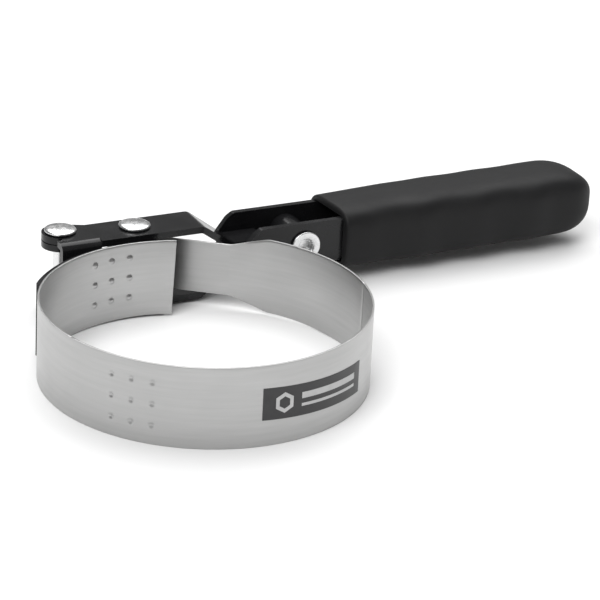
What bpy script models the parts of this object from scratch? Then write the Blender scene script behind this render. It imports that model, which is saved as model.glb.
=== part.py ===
"""Strap oil filter wrench with a swivel handle: one solid for each sub-part, in metres, +Z up.

Plan coordinates are measured from the centre of the strap's ring, with +X along the handle and
+Y away from the ring towards the link that joins strap and handle. Every solid hangs from an
empty: the fixed ones from ring_centre, the moving ones from the empty on their own pivot axis.
"""

import math

import bmesh
import bpy
from mathutils import Vector

MM = 0.001
GAP = 0.3 * MM  # running gap kept between two solids that meet

# Strap: one strip of spring steel, closed into a ring with a flatter inner tail.
STRAP_WIDTH = 25.0 * MM
STRAP_THICKNESS = 0.6 * MM
RING_RADIUS = 49.1 * MM - STRAP_THICKNESS / 2
TAIL_RADIUS = 43.9 * MM - STRAP_THICKNESS / 2
TAIL_START_DEG = 170.0  # where the tail's tighter arc leaves the ring, counted from +X
TAIL_END_DEG = 71.0
FLARE_START_DEG = 38.0  # where the other end leaves the ring on a wider arc
FLARE_RADIUS = 65.0 * MM
FLARE_HINGE_DEG = 41.5
TONGUE_WIDTH = 17.7 * MM
TAPER_LENGTH = 12.0 * MM
FLEX_DEG = 243.0  # the place on the ring, opposite the tail, about which it closes
LOOP_RADIUS = 3.35 * MM  # middle of the sheet that wraps the anchor rivet

# Yoke: folded from 2.1 mm sheet, two plates joined by a short web and by the tail.
SHEET = 2.1 * MM
YOKE_TOP = 12.5 * MM
YOKE_BOTTOM = -11.5 * MM
YOKE_NEAR = 49.2 * MM
YOKE_FAR = 62.8 * MM
YOKE_BEND_X = 21.3 * MM
WEB_START_X = -25.2 * MM
WEB_END_X = -12.4 * MM
WEB_BEND = 2.5 * MM
PIVOT = Vector((-21.7, 60.3)) * MM
PIVOT_END_RADIUS = 5.8 * MM
ANCHOR = Vector((1.2, 56.4)) * MM
TAIL_TOP = 3.6 * MM
LEG_END_X = 33.4 * MM
UPPER_TAIL_END_X = 45.0 * MM
TAIL_NEAR = 53.8 * MM
EYE_RADIUS = 5.05 * MM
EYE_LENGTH = 13.2 * MM

# Shoe: saddle outside the strap's tail, with two flanges that reach back to the pivot.
SADDLE_THICKNESS = 1.6 * MM
SADDLE_GAP = 0.2 * MM
SADDLE_HEIGHT = 23.4 * MM
SADDLE_END_DEG = 75.0
SADDLE_START_DEG = 144.0

# Handle: open channel that straddles the yoke's eye, inside a moulded grip.
SWIVEL = Vector((56.4, 57.9, 1.3)) * MM
CHANNEL_WIDTH = 17.8 * MM
CHANNEL_HEIGHT = 15.0 * MM
CHANNEL_WALL = 2.0 * MM
CHANNEL_START_X = 33.2 * MM
CHANNEL_MOUTH = ((0.0, 1.5), (3.4, 6.0), (5.6, 7.5), (8.0, 7.7))  # steps back and up, in mm
CHANNEL_NEAR_BACK = 2.4 * MM  # the near wall's mouth stands this far behind the far one's
CHANNEL_END_X = 148.0 * MM
CHANNEL_BEND = 2.6 * MM
WEB_CUT_X = 62.0 * MM
GRIP_START_X = 67.4 * MM
GRIP_END_X = 163.4 * MM
GRIP_FIRST_FINGER_X = 86.5 * MM
GRIP_FINGER_PITCH = 20.2 * MM
GRIP_FINGERS = 4
GRIP_FINGER_DEPTH = 1.1 * MM
GRIP_BACK_X = 98.5 * MM
GRIP_BACK_PITCH = 17.6 * MM
GRIP_BACKS = 3
GRIP_BACK_DEPTH = 0.7 * MM
GRIP_RISE = 1.0 * MM
GRIP_SLANT = 1.2 * MM  # the collar's end leans: further along on the near side

# Rivets.
RIVET_SHANK = 2.15 * MM
RIVET_HEAD = 4.9 * MM
RIVET_HEAD_RIM = 0.45 * MM
RIVET_HEAD_HEIGHT = 1.35 * MM
RIVET_TAIL = 4.1 * MM
RIVET_TAIL_HEIGHT = 0.6 * MM
SWIVEL_SHANK = 2.9 * MM
SWIVEL_FLANGE = 4.95 * MM
SWIVEL_FLANGE_HEIGHT = 0.8 * MM
SWIVEL_HOLE = 2.4 * MM
SWIVEL_HOLE_DEPTH = 3.0 * MM
SWIVEL_HEAD_HEIGHT = 1.8 * MM

# The frame's origin is under the middle of the object's box, on the surface it lies on.
RING_OUTER = RING_RADIUS + STRAP_THICKNESS / 2
GRIP_HALF_WIDTH = 12.5 * MM
GRIP_HALF_HEIGHT = 10.6 * MM
RING_CENTRE = Vector((
    -(GRIP_END_X - RING_OUTER) / 2,
    -(SWIVEL.y + GRIP_HALF_WIDTH - RING_OUTER) / 2,
    STRAP_WIDTH / 2,
))


def polar(centre, radius, degrees):
    """The plan point at this angle of a circle, as a Vector."""
    angle = math.radians(degrees)
    return Vector((centre[0] + radius * math.cos(angle), centre[1] + radius * math.sin(angle)))


def arc(centre, radius, start_deg, end_deg, step_deg=4.0):
    """Points along an arc, both ends included."""
    steps = max(2, math.ceil(abs(end_deg - start_deg) / step_deg))
    return [
        polar(centre, radius, start_deg + (end_deg - start_deg) * i / steps)
        for i in range(steps + 1)
    ]


def rounded(points, radius, closed=True, step_deg=15.0):
    """The polygon or path with each corner turned into an arc of this radius, where it fits."""
    found = []
    count = len(points)
    for i, corner in enumerate(points):
        corner = Vector(corner)
        if not closed and i in (0, count - 1):
            found.append(corner)
            continue
        before = Vector(points[i - 1]) - corner
        after = Vector(points[(i + 1) % count]) - corner
        half = before.angle(after) / 2
        reach = radius / math.tan(half)
        room = 0.49 * min(before.length, after.length)
        if reach < 1e-7 or math.degrees(half) > 89.0:
            found.append(corner)
            continue
        reach = min(reach, room)
        fitted = reach * math.tan(half)
        bisector = (before.normalized() + after.normalized()).normalized()
        centre = corner + bisector * (fitted / math.sin(half))
        first = corner + before.normalized() * reach - centre
        last = corner + after.normalized() * reach - centre
        turn = first.angle_signed(last)
        steps = max(1, math.ceil(abs(math.degrees(turn)) / step_deg))
        start = math.atan2(first.y, first.x)
        for k in range(steps + 1):
            angle = start - turn * k / steps
            found.append(centre + Vector((math.cos(angle), math.sin(angle))) * fitted)
    return found


def ribbon(path, thickness):
    """The closed outline of a strip of this thickness whose middle follows the path."""
    left = []
    right = []
    for i, point in enumerate(path):
        ahead = (Vector(path[min(i + 1, len(path) - 1)]) - Vector(point))
        behind = (Vector(point) - Vector(path[max(i - 1, 0)]))
        heading = (ahead.normalized() + behind.normalized()).normalized()
        normal = Vector((-heading.y, heading.x)) * (thickness / 2)
        left.append(Vector(point) + normal)
        right.append(Vector(point) - normal)
    return left + right[::-1]


def clear_scene():
    for obj in list(bpy.data.objects):
        bpy.data.objects.remove(obj, do_unlink=True)
    bpy.context.scene.unit_settings.scale_length = 1.0


def new_collection(name):
    collection = bpy.data.collections.new(name)
    bpy.context.scene.collection.children.link(collection)
    return collection


def material(name, colour, roughness, metallic):
    made = bpy.data.materials.new(name)
    made.use_nodes = True
    shader = made.node_tree.nodes["Principled BSDF"]
    shader.inputs["Base Color"].default_value = (*colour, 1.0)
    shader.inputs["Roughness"].default_value = roughness
    shader.inputs["Metallic"].default_value = metallic
    return made


def extruded(name, outline, low, high, collection):
    """A flat outline drawn as a 2D curve, filled and extruded from low to high, as a mesh object."""
    curve = bpy.data.curves.new(name + "_outline", "CURVE")
    curve.dimensions = "2D"
    curve.fill_mode = "BOTH"
    curve.extrude = (high - low) / 2
    spline = curve.splines.new("POLY")
    spline.points.add(len(outline) - 1)
    for point, (x, y) in zip(spline.points, outline):
        point.co = (x, y, 0.0, 1.0)
    spline.use_cyclic_u = True
    drawn = bpy.data.objects.new(name + "_outline", curve)
    collection.objects.link(drawn)
    made = meshed(name, drawn, collection)
    for vertex in made.data.vertices:
        vertex.co.z += (low + high) / 2
    return made


def meshed(name, drawn, collection):
    """The evaluated shape of a curve object as a closed mesh object, in place of the curve."""
    bpy.context.view_layer.update()
    graph = bpy.context.evaluated_depsgraph_get()
    mesh = bpy.data.meshes.new_from_object(drawn.evaluated_get(graph))
    mesh.name = name
    weld(mesh)
    made = bpy.data.objects.new(name, mesh)
    made.matrix_world = drawn.matrix_world
    collection.objects.link(made)
    bpy.data.objects.remove(drawn, do_unlink=True)
    return made


def weld(mesh):
    """Joins the doubled points where a curve's caps meet its sides."""
    shape = bmesh.new()
    shape.from_mesh(mesh)
    bmesh.ops.remove_doubles(shape, verts=shape.verts, dist=1e-6)
    bmesh.ops.recalc_face_normals(shape, faces=shape.faces)
    shape.to_mesh(mesh)
    shape.free()


def stand_up(obj, along):
    """Turns a shape drawn flat so that its plane is XZ (along Y) or YZ (along X)."""
    for vertex in obj.data.vertices:
        x, y, z = vertex.co
        vertex.co = (x, z, y) if along == "Y" else (z, x, y)
    weld(obj.data)


def turned(name, profile, axis, origin, collection, steps=32):
    """A solid turned about its own Z from (radius, height) points listed top to bottom."""
    mesh = bpy.data.meshes.new(name)
    points = [(radius, 0.0, height) for radius, height in profile]
    mesh.from_pydata(points, [(i, i + 1) for i in range(len(points) - 1)], [])
    made = bpy.data.objects.new(name, mesh)
    collection.objects.link(made)
    screw = made.modifiers.new("turn", "SCREW")
    screw.axis = "Z"
    screw.steps = steps
    screw.render_steps = steps
    screw.use_merge_vertices = True
    screw.merge_threshold = 0.000001
    screw.use_smooth_shade = True
    made.location = origin
    if axis == "Y":
        made.rotation_euler = (math.radians(-90.0), 0.0, 0.0)
    return made


def boolean(obj, other, operation, helpers):
    """Adds or cuts a helper solid, and puts the helper away with the other cutters."""
    step = obj.modifiers.new(operation.lower() + "_" + other.name, "BOOLEAN")
    step.operation = operation
    step.solver = "EXACT"
    step.object = other
    for collection in list(other.users_collection):
        collection.objects.unlink(other)
    helpers.objects.link(other)
    other.hide_render = True
    other.hide_set(True)
    other.display_type = "WIRE"


def drilled(obj, centre, radius, low, high, helpers, name):
    """Cuts a round hole through the solid, along Z."""
    hole = extruded(name, arc(centre, radius, 0.0, 345.0, 15.0), low, high, helpers)
    boolean(obj, hole, "DIFFERENCE", helpers)


def smooth_round_faces(obj, angle_deg=32.0):
    if obj.type == "MESH" and obj.data.polygons:
        obj.data.shade_smooth()
        obj.data.set_sharp_from_angle(angle=math.radians(angle_deg))


def ring_path(start_deg, end_deg):
    """Middle of the strap along the ring's true circle."""
    return arc((0.0, 0.0), RING_RADIUS, start_deg, end_deg)


def tail_centre():
    return polar((0.0, 0.0), RING_RADIUS - TAIL_RADIUS, TAIL_START_DEG)


def flare_centre():
    start = polar((0.0, 0.0), RING_RADIUS, FLARE_START_DEG)
    return polar(start, -FLARE_RADIUS, FLARE_START_DEG)


def tongue_leave_deg():
    """Where the straight tongue leaves the wide arc, tangent to it and to the loop's far side."""
    across = ANCHOR - flare_centre()
    share = (FLARE_RADIUS - LOOP_RADIUS) / across.length
    return math.degrees(math.atan2(across.y, across.x) - math.acos(share))


def gap_deg(radius):
    """Half of the gap between two strap sections, as an angle at this radius."""
    return math.degrees(GAP / 2 / radius)


def make_strap(parts, helpers, steel):
    half = STRAP_WIDTH / 2
    flex = gap_deg(RING_RADIUS)
    tail = arc(tail_centre(), TAIL_RADIUS, TAIL_END_DEG, TAIL_START_DEG)
    left = tail[:-1] + ring_path(TAIL_START_DEG, FLEX_DEG - flex)
    strap_left = extruded("strap_left", ribbon(left, STRAP_THICKNESS), -half, half, parts)

    hinge = gap_deg(FLARE_RADIUS)
    right = ring_path(FLEX_DEG + flex, 360.0 + FLARE_START_DEG)[:-1]
    right += arc(flare_centre(), FLARE_RADIUS, FLARE_START_DEG, FLARE_HINGE_DEG - hinge)
    strap_right = extruded("strap_right", ribbon(right, STRAP_THICKNESS), -half, half, parts)

    leave = tongue_leave_deg()
    path = arc(flare_centre(), FLARE_RADIUS, FLARE_HINGE_DEG + hinge, leave)
    path += arc(ANCHOR, LOOP_RADIUS, leave, leave + 285.0, 15.0)
    tongue = extruded("strap_tongue", ribbon(path, STRAP_THICKNESS), -half, half, parts)
    taper_tongue(tongue, leave, helpers)
    for piece in (strap_left, strap_right, tongue):
        piece.data.materials.append(steel)
    return strap_left, strap_right, tongue


def taper_tongue(tongue, leave, helpers):
    """Narrows the tongue above and below, from full width at the hinge to its own width."""
    start = polar(flare_centre(), FLARE_RADIUS, FLARE_HINGE_DEG)
    heading = polar((0.0, 0.0), 1.0, (FLARE_HINGE_DEG + leave) / 2 + 90.0)
    across = Vector((-heading.y, heading.x))
    reach = 70.0 * MM
    for side in (1, -1):
        outline = [
            (-2.0 * MM, side * (STRAP_WIDTH / 2 + 1.0 * MM)),
            (0.0, side * STRAP_WIDTH / 2),
            (TAPER_LENGTH, side * TONGUE_WIDTH / 2),
            (reach, side * TONGUE_WIDTH / 2),
            (reach, side * (STRAP_WIDTH / 2 + 1.0 * MM)),
        ]
        wedge = extruded(f"tongue_taper_{side}", outline, -15.0 * MM, 15.0 * MM, helpers)
        for vertex in wedge.data.vertices:
            along, height, beside = vertex.co
            place = start + heading * along + across * beside
            vertex.co = (place.x, place.y, height)
        weld(wedge.data)
        boolean(tongue, wedge, "DIFFERENCE", helpers)


def plate_outline():
    """Plan of one yoke plate: a strip with a round end about the pivot."""
    end = arc(PIVOT, PIVOT_END_RADIUS, 60.0, 255.0, 12.0)
    web = YOKE_NEAR + WEB_BEND
    return [
        (YOKE_BEND_X - 4.0 * MM, YOKE_NEAR),
        (YOKE_BEND_X - 4.0 * MM, YOKE_FAR),
        (PIVOT.x + 9.0 * MM, YOKE_FAR),
        *end,
        (WEB_START_X, web),
        (WEB_END_X, web),
        (WEB_END_X, YOKE_NEAR),
    ]


def make_yoke(parts, helpers, paint):
    yoke = extruded("yoke", plate_outline(), YOKE_TOP - SHEET, YOKE_TOP, parts)
    lower = extruded("yoke_lower_plate", plate_outline(), YOKE_BOTTOM, YOKE_BOTTOM + SHEET, parts)
    boolean(yoke, lower, "UNION", helpers)
    boolean(yoke, yoke_web(parts), "UNION", helpers)
    for leg in yoke_legs(parts, helpers):
        boolean(yoke, leg, "UNION", helpers)
    eye = extruded(
        "yoke_eye",
        arc((SWIVEL.x, SWIVEL.z), EYE_RADIUS, 0.0, 350.0, 10.0),
        SWIVEL.y - EYE_LENGTH / 2,
        SWIVEL.y + EYE_LENGTH / 2,
        parts,
    )
    stand_up(eye, "Y")
    boolean(yoke, eye, "UNION", helpers)
    bore = extruded(
        "yoke_eye_bore",
        arc((SWIVEL.x, SWIVEL.z), SWIVEL_SHANK + GAP, 0.0, 345.0, 15.0),
        SWIVEL.y - EYE_LENGTH,
        SWIVEL.y + EYE_LENGTH,
        helpers,
    )
    stand_up(bore, "Y")
    boolean(yoke, bore, "DIFFERENCE", helpers)
    top = YOKE_TOP + 1.0 * MM
    bottom = YOKE_BOTTOM - 1.0 * MM
    drilled(yoke, PIVOT, RIVET_SHANK + GAP, bottom, top, helpers, "yoke_pivot_hole")
    drilled(yoke, ANCHOR, RIVET_SHANK + GAP, bottom, top, helpers, "yoke_anchor_hole")
    yoke.data.materials.append(paint)
    return yoke


def yoke_web(parts):
    """The short folded web beside the pivot that joins the two plates on the ring's side."""
    inset = SHEET / 2
    near = YOKE_NEAR + inset
    reach = YOKE_NEAR + WEB_BEND + 2.0 * MM
    path = rounded(
        [
            (reach, YOKE_TOP - inset),
            (near, YOKE_TOP - inset),
            (near, YOKE_BOTTOM + inset),
            (reach, YOKE_BOTTOM + inset),
        ],
        WEB_BEND - inset,
        closed=False,
    )
    web = extruded("yoke_web", ribbon(path, SHEET), WEB_START_X, WEB_END_X, parts)
    stand_up(web, "X")
    return web


def yoke_legs(parts, helpers):
    """The two plates' ends, sloped together into the tail that carries the eye."""
    inset = SHEET / 2
    start = YOKE_BEND_X - 6.0 * MM
    upper = TAIL_TOP - inset
    lower = upper - SHEET + 0.02 * MM
    legs = []
    for name, plate, level, end in (
        ("upper", YOKE_TOP - inset, upper, UPPER_TAIL_END_X),
        ("lower", YOKE_BOTTOM + inset, lower, SWIVEL.x - EYE_RADIUS + SHEET),
    ):
        path = rounded(
            [(start, plate), (YOKE_BEND_X, plate), (LEG_END_X, level), (end, level)],
            2.5 * MM,
            closed=False,
        )
        leg = extruded(f"yoke_{name}_leg", ribbon(path, SHEET), YOKE_NEAR, YOKE_FAR, parts)
        stand_up(leg, "Y")
        trim = extruded(f"yoke_{name}_leg_trim", leg_trim(), -20.0 * MM, 20.0 * MM, helpers)
        boolean(leg, trim, "DIFFERENCE", helpers)
        legs.append(leg)
    return legs


def leg_trim():
    """Plan of what the near edge loses where the legs narrow towards the tail."""
    return [
        (YOKE_BEND_X, YOKE_NEAR),
        (YOKE_BEND_X + 4.5 * MM, YOKE_NEAR + 1.2 * MM),
        (YOKE_BEND_X + 8.5 * MM, YOKE_NEAR + 3.4 * MM),
        (LEG_END_X + 1.0 * MM, TAIL_NEAR),
        (SWIVEL.x + 5.0 * MM, TAIL_NEAR),
        (SWIVEL.x + 5.0 * MM, YOKE_NEAR - 3.0 * MM),
        (YOKE_BEND_X, YOKE_NEAR - 3.0 * MM),
    ]


def flange_outline():
    """Plan of one shoe flange: from the saddle, clear of the anchor, behind the web to the pivot."""
    behind_web = PIVOT.y - PIVOT_END_RADIUS
    root = tail_centre()
    inner = TAIL_RADIUS + STRAP_THICKNESS / 2 + SADDLE_GAP + SADDLE_THICKNESS / 2
    left_x = -8.6 * MM
    clear_x = ANCHOR.x - 5.4 * MM
    return [
        (left_x, polar(root, inner, 95.0).y),
        (left_x, behind_web),
        *arc(PIVOT, PIVOT_END_RADIUS, 270.0, 78.0, 12.0),
        (clear_x, YOKE_FAR - 0.4 * MM),
        (clear_x, 51.2 * MM),
        (5.6 * MM, 50.4 * MM),
        polar(root, inner + SADDLE_THICKNESS / 3, SADDLE_END_DEG + 1.0),
        polar(root, inner, SADDLE_END_DEG + 6.0),
        polar(root, inner, 84.0),
        polar(root, inner, 90.0),
    ]


def make_shoe(parts, helpers, paint):
    inner = TAIL_RADIUS + STRAP_THICKNESS / 2 + SADDLE_GAP
    path = arc(tail_centre(), inner + SADDLE_THICKNESS / 2, SADDLE_END_DEG, SADDLE_START_DEG)
    half = SADDLE_HEIGHT / 2
    shoe = extruded("shoe", ribbon(path, SADDLE_THICKNESS), -half, half, parts)
    for name, low in (
        ("upper", YOKE_TOP - SHEET - GAP - SHEET),
        ("lower", YOKE_BOTTOM + SHEET + GAP),
    ):
        flange = extruded(f"shoe_{name}_flange", flange_outline(), low, low + SHEET, parts)
        boolean(shoe, flange, "UNION", helpers)
    drilled(shoe, PIVOT, RIVET_SHANK + GAP, -half, half, helpers, "shoe_pivot_hole")
    shoe.data.materials.append(paint)
    return shoe


def rivet_profile():
    """Top to bottom: domed head, shank through both plates, and a flat formed end."""
    seat = YOKE_TOP + GAP
    foot = YOKE_BOTTOM - GAP
    dome = [
        (RIVET_HEAD * math.sin(math.radians(a)),
         seat + RIVET_HEAD_RIM
         + (RIVET_HEAD_HEIGHT - RIVET_HEAD_RIM) * math.cos(math.radians(a)))
        for a in range(0, 91, 15)
    ]
    return [
        *dome,
        (RIVET_HEAD, seat),
        (RIVET_SHANK, seat),
        (RIVET_SHANK, foot),
        (RIVET_TAIL, foot),
        (RIVET_TAIL, foot - RIVET_TAIL_HEIGHT / 2),
        (RIVET_TAIL * 0.8, foot - RIVET_TAIL_HEIGHT),
        (0.0, foot - RIVET_TAIL_HEIGHT),
    ]


def make_link_rivets(parts, zinc):
    made = []
    for name, place in (("pivot_rivet", PIVOT), ("anchor_rivet", ANCHOR)):
        rivet = turned(name, rivet_profile(), "Z", (place.x, place.y, 0.0), parts)
        rivet.data.materials.append(zinc)
        made.append(rivet)
    return made


def make_swivel_rivet(parts, zinc):
    """Semi-tubular rivet: domed head on the far side, rolled flange round a hole on the near."""
    seat = CHANNEL_WIDTH / 2 + GAP
    head = [
        (SWIVEL_FLANGE * math.sin(math.radians(a)),
         seat + 0.6 * MM + (SWIVEL_HEAD_HEIGHT - 0.6 * MM) * math.cos(math.radians(a)))
        for a in range(0, 91, 15)
    ]
    near = -seat
    rim = near - SWIVEL_FLANGE_HEIGHT
    profile = [
        *head,
        (SWIVEL_FLANGE, seat),
        (SWIVEL_SHANK, seat),
        (SWIVEL_SHANK, near),
        (SWIVEL_FLANGE, near),
        (SWIVEL_FLANGE - 0.3 * MM, near - SWIVEL_FLANGE_HEIGHT * 0.7),
        (SWIVEL_FLANGE - 1.0 * MM, rim),
        (SWIVEL_HOLE + 0.4 * MM, rim),
        (SWIVEL_HOLE, rim + 0.5 * MM),
        (SWIVEL_HOLE, rim + SWIVEL_HOLE_DEPTH),
        (0.0, rim + SWIVEL_HOLE_DEPTH),
    ]
    rivet = turned("swivel_rivet", profile, "Y", SWIVEL, parts)
    rivet.data.materials.append(zinc)
    return rivet


def channel_section():
    """The channel's U in the YZ plane, open at the top."""
    inset = CHANNEL_WALL / 2
    near = SWIVEL.y - CHANNEL_WIDTH / 2 + inset
    far = SWIVEL.y + CHANNEL_WIDTH / 2 - inset
    top = SWIVEL.z + CHANNEL_HEIGHT / 2
    bottom = SWIVEL.z - CHANNEL_HEIGHT / 2 + inset
    path = rounded(
        [(near, top), (near, bottom), (far, bottom), (far, top)],
        CHANNEL_BEND - inset,
        closed=False,
    )
    return ribbon(path, CHANNEL_WALL)


def mouth_outline(back):
    """Side view of what one wall's rounded mouth loses, with the wall set back by this much."""
    edge = CHANNEL_HEIGHT / 2 + 2.0 * MM
    start = CHANNEL_START_X + back
    upper = rounded(
        [(start + x * MM, SWIVEL.z + z * MM) for x, z in CHANNEL_MOUTH], 2.5 * MM, closed=False
    )
    lower = [Vector((point.x, 2 * SWIVEL.z - point.y)) for point in upper]
    clear = CHANNEL_START_X - 2.0 * MM
    return [
        (clear, SWIVEL.z + edge),
        (upper[-1].x, SWIVEL.z + edge),
        *upper[::-1],
        *lower,
        (lower[-1].x, SWIVEL.z - edge),
        (clear, SWIVEL.z - edge),
    ]


def make_channel(parts, helpers, paint):
    start = CHANNEL_START_X - 0.5 * MM
    channel = extruded("handle_channel", channel_section(), start, CHANNEL_END_X, parts)
    stand_up(channel, "X")
    low = SWIVEL.y - CHANNEL_WIDTH
    high = SWIVEL.y + CHANNEL_WIDTH
    for wall, back, first, last in (
        ("far", 0.0, SWIVEL.y, high),
        ("near", CHANNEL_NEAR_BACK, low, SWIVEL.y),
    ):
        trim = extruded(f"channel_mouth_{wall}", mouth_outline(back), first, last, helpers)
        stand_up(trim, "Y")
        boolean(channel, trim, "DIFFERENCE", helpers)
    inner = CHANNEL_WIDTH / 2 - CHANNEL_WALL
    window = extruded(
        "channel_window",
        [
            (CHANNEL_START_X - 2.0 * MM, SWIVEL.y - inner),
            (WEB_CUT_X, SWIVEL.y - inner),
            (WEB_CUT_X, SWIVEL.y + inner),
            (CHANNEL_START_X - 2.0 * MM, SWIVEL.y + inner),
        ],
        SWIVEL.z - CHANNEL_HEIGHT,
        SWIVEL.z,
        helpers,
    )
    boolean(channel, window, "DIFFERENCE", helpers)
    bore = extruded(
        "channel_rivet_hole",
        arc((SWIVEL.x, SWIVEL.z), SWIVEL_SHANK + GAP, 0.0, 345.0, 15.0),
        low,
        high,
        helpers,
    )
    stand_up(bore, "Y")
    boolean(channel, bore, "DIFFERENCE", helpers)
    channel.data.materials.append(paint)
    return channel


def grip_half_sizes(x):
    """Half width and half height of the grip at a distance along the handle."""
    share = (x - GRIP_START_X) / (GRIP_END_X - GRIP_START_X)
    swell = min(1.0, share / 0.3)
    width = 11.8 * MM + (GRIP_HALF_WIDTH - 11.8 * MM) * swell
    height = 10.0 * MM + (GRIP_HALF_HEIGHT - 10.0 * MM) * swell
    nose = 16.0 * MM
    left = GRIP_END_X - x
    if left < nose:
        closing = math.sqrt(max(0.0, 1.0 - ((nose - left) / nose) ** 2.2))
        width *= 0.12 + 0.88 * closing
        height *= 0.12 + 0.88 * closing
    return width, height


def dips(x, first, pitch, count, depth):
    """How far a row of shallow recesses draws the surface in at this place."""
    for i in range(count):
        away = (x - first - i * pitch) / (pitch / 2)
        if abs(away) < 1.0:
            return depth * (0.5 + 0.5 * math.cos(math.pi * away))
    return 0.0


def grip_section(x, count=28):
    """One closed section of the grip: a rounded rectangle, drawn in at the recesses."""
    width, height = grip_half_sizes(x)
    share = (x - GRIP_START_X) / (GRIP_END_X - GRIP_START_X)
    fingers = dips(x, GRIP_FIRST_FINGER_X, GRIP_FINGER_PITCH, GRIP_FINGERS, GRIP_FINGER_DEPTH)
    backs = dips(x, GRIP_BACK_X, GRIP_BACK_PITCH, GRIP_BACKS, GRIP_BACK_DEPTH)
    points = []
    for i in range(count):
        angle = 2.0 * math.pi * (i + 0.5) / count
        c = math.cos(angle)
        s = math.sin(angle)
        y = math.copysign(abs(c) ** 0.52, c) * width
        z = math.copysign(abs(s) ** 0.52, s) * height + GRIP_RISE * share
        y += fingers * abs(c) if y < 0.0 else -backs * abs(c)
        lean = (1.0 - y / width) * GRIP_SLANT * max(0.0, 1.0 - share / 0.16)
        points.append(Vector((x + lean, SWIVEL.y + y, SWIVEL.z + z)))
    return points


def make_grip(parts, helpers, rubber):
    """A loft through rounded sections, hollow where the channel goes in."""
    stations = [GRIP_START_X + 4.0 * MM * i for i in range(20)]
    nose = 16.0 * MM
    stations += [GRIP_END_X - nose * (1.0 - t) for t in (0.25, 0.45, 0.62, 0.77, 0.88, 0.95, 1.0)]
    shape = bmesh.new()
    rings = [[shape.verts.new(p) for p in grip_section(x)] for x in stations]
    for first, second in zip(rings, rings[1:]):
        for i, corner in enumerate(first):
            j = (i + 1) % len(first)
            shape.faces.new((corner, first[j], second[j], second[i]))
    shape.faces.new(rings[0])
    shape.faces.new(rings[-1])
    bmesh.ops.recalc_face_normals(shape, faces=shape.faces)
    mesh = bpy.data.meshes.new("grip")
    shape.to_mesh(mesh)
    shape.free()
    grip = bpy.data.objects.new("grip", mesh)
    parts.objects.link(grip)
    pocket_half_y = CHANNEL_WIDTH / 2 + GAP
    pocket_half_z = CHANNEL_HEIGHT / 2 + GAP
    pocket = extruded(
        "grip_pocket",
        rounded(
            [
                (SWIVEL.y - pocket_half_y, SWIVEL.z - pocket_half_z),
                (SWIVEL.y + pocket_half_y, SWIVEL.z - pocket_half_z),
                (SWIVEL.y + pocket_half_y, SWIVEL.z + pocket_half_z),
                (SWIVEL.y - pocket_half_y, SWIVEL.z + pocket_half_z),
            ],
            1.0 * MM,
        ),
        GRIP_START_X - 2.0 * MM,
        CHANNEL_END_X + GAP,
        helpers,
    )
    stand_up(pocket, "X")
    boolean(grip, pocket, "DIFFERENCE", helpers)
    grip.data.materials.append(rubber)
    return grip


def empty(name, place, parent, collection):
    """A pivot marker at a place given in the ring's coordinates."""
    marker = bpy.data.objects.new(name, None)
    marker.empty_display_size = 0.01
    collection.objects.link(marker)
    if parent is None:
        marker.location = place
    else:
        marker.parent = parent
        marker.location = Vector(place) - ring_place(parent)
    return marker


def ring_place(marker):
    """Where a marker stands in the ring's coordinates."""
    place = Vector((0.0, 0.0, 0.0))
    while marker.parent is not None:
        place += marker.location
        marker = marker.parent
    return place


def hang(obj, marker):
    """Parents a solid, drawn in the ring's coordinates, to a marker."""
    obj.location = Vector(obj.location) - ring_place(marker)
    obj.parent = marker


def main():
    clear_scene()
    parts = new_collection("oil_filter_wrench")
    helpers = new_collection("cutters")
    steel = material("strap_steel", (0.55, 0.55, 0.54), 0.35, 1.0)
    paint = material("black_paint", (0.025, 0.025, 0.028), 0.35, 0.0)
    zinc = material("zinc_plate", (0.72, 0.72, 0.73), 0.25, 1.0)
    rubber = material("grip_rubber", (0.02, 0.02, 0.021), 0.6, 0.0)

    ring_centre = empty("ring_centre", RING_CENTRE, None, parts)
    flex = polar((0.0, 0.0), RING_RADIUS, FLEX_DEG)
    fold = polar(flare_centre(), FLARE_RADIUS, FLARE_HINGE_DEG)
    flex_axis = empty("flex_axis", (flex.x, flex.y, 0.0), ring_centre, parts)
    tongue_axis = empty("tongue_axis", (fold.x, fold.y, 0.0), flex_axis, parts)
    pivot_axis = empty("pivot_axis", (PIVOT.x, PIVOT.y, 0.0), ring_centre, parts)
    swivel_axis = empty("swivel_axis", SWIVEL, pivot_axis, parts)

    strap_left, strap_right, tongue = make_strap(parts, helpers, steel)
    hang(strap_left, ring_centre)
    hang(strap_right, flex_axis)
    hang(tongue, tongue_axis)
    hang(make_shoe(parts, helpers, paint), ring_centre)
    hang(make_yoke(parts, helpers, paint), pivot_axis)
    for rivet in make_link_rivets(parts, zinc):
        hang(rivet, pivot_axis)
    hang(make_swivel_rivet(parts, zinc), swivel_axis)
    hang(make_channel(parts, helpers, paint), swivel_axis)
    hang(make_grip(parts, helpers, rubber), swivel_axis)
    for helper in helpers.objects:
        hang(helper, ring_centre)
    for obj in parts.objects:
        if obj.type == "MESH":
            smooth_round_faces(obj)


main()
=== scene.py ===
"""Looks of a strap oil filter wrench with a swivel handle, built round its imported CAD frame.

Each sub-assembly is a class with its sizes as fields. Plan coordinates are measured from the
centre of the strap's ring, with +X along the handle, and every finished mesh is then moved to
the ring's place in the frame.
"""

import logging
import math
from collections.abc import Callable, Iterable, Sequence
from dataclasses import dataclass
from enum import Enum
from typing import ClassVar

import bmesh
import bpy
from mathutils import Matrix, Vector


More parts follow.
